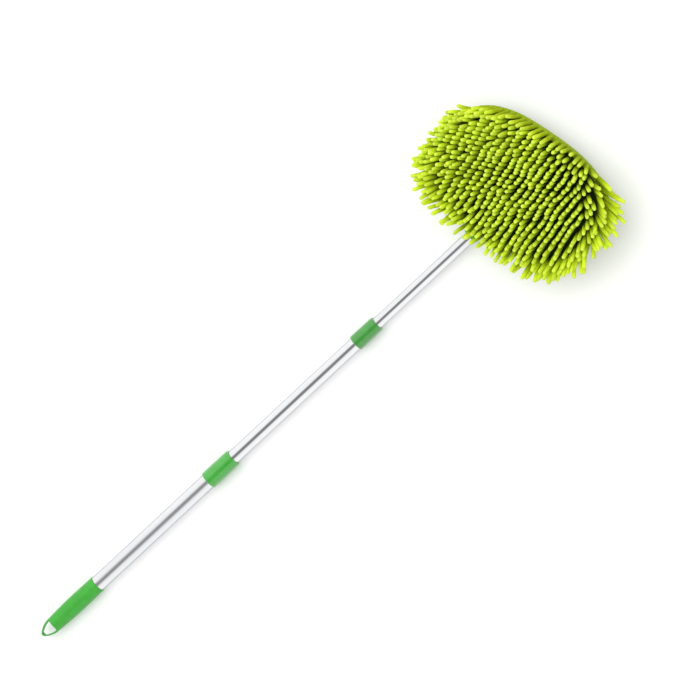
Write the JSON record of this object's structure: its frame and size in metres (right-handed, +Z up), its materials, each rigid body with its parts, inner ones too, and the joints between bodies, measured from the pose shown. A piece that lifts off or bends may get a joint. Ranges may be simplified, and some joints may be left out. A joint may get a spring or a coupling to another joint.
{
  "type": "car wash brush",
  "caption": "Chenille car wash brush: an oval padded head on a universal joint, at the end of a telescopic pole with twist locks and a hang loop.",
  "frame": {"origin": "on the floor under the yaw pin of the head's joint, on the flat underside of the neck's fork", "axes": "+X along the pole from the grip towards the head, +Z up through the chenille, the brush lying on its back"},
  "size_m": [0.9884, 0.2606, 0.0746],
  "materials": {
    "green_grip": "satin moulded",
    "green_collar": "satin moulded",
    "green_neck": "satin moulded",
    "dark_green_plastic": "moulded",
    "plate_plastic": "moulded",
    "pole_aluminium": "drawn, anodised",
    "fastener_steel": "zinc plated",
    "nylon": "moulded",
    "foam": "open-cell foam",
    "cover_cloth": "knitted microfibre",
    "elastic": "woven elastic",
    "chenille": "fluffy chenille"
  },
  "bodies": {
    "pole_base": {"hand_grip": "green_grip", "lower_tube": "pole_aluminium", "lower_collar": "green_collar", "lower_guide_bush": "nylon"},
    "lower_lock": {"lower_cam_sleeve": "nylon"},
    "middle_section": {"lower_cam_plug": "dark_green_plastic", "middle_tube": "pole_aluminium", "upper_collar": "green_collar", "upper_guide_bush": "nylon"},
    "upper_lock": {"upper_cam_sleeve": "nylon"},
    "upper_section": {"upper_cam_plug": "dark_green_plastic", "upper_tube": "pole_aluminium", "neck_socket": "green_neck", "neck_screw": "fastener_steel", "yaw_pin": "fastener_steel"},
    "swivel": {"swivel_block": "dark_green_plastic"},
    "head": {"tilt_pin": "fastener_steel", "tilt_washer_left": "nylon", "tilt_washer_right": "nylon", "back_plate": "plate_plastic", "foam_pad": "foam", "side_band": "cover_cloth", "back_hem": "cover_cloth", "hem_elastic": "elastic", "chenille_slice_1": "chenille", "chenille_slice_2": "chenille", "chenille_slice_3": "chenille", "chenille_slice_4": "chenille"}
  },
  "joints": [
    {"name": "lower_slide", "type": "slide", "parent": "pole_base", "child": "lower_lock", "axis": [1, 0, 0], "range_m": [-0.2, 0]},
    {"name": "lower_twist", "type": "hinge", "parent": "lower_lock", "child": "middle_section", "pos_m": [-0.619, 0, 0.013], "axis": [1, 0, 0], "range_deg": [0, 100]},
    {"name": "upper_slide", "type": "slide", "parent": "middle_section", "child": "upper_lock", "axis": [1, 0, 0], "range_m": [-0.165, 0]},
    {"name": "upper_twist", "type": "hinge", "parent": "upper_lock", "child": "upper_section", "pos_m": [-0.343, 0, 0.013], "axis": [1, 0, 0], "range_deg": [0, 100]},
    {"name": "head_yaw", "type": "hinge", "parent": "upper_section", "child": "swivel", "pos_m": [0, 0, 0.013], "axis": [0, 0, 1], "range_deg": [-57.5, 32.5]},
    {"name": "head_tilt", "type": "hinge", "parent": "swivel", "child": "head", "pos_m": [0.01562, 0.00346, 0.013], "axis": [-0.2164, 0.9763, 0], "range_deg": [0, 180]}
  ]
}
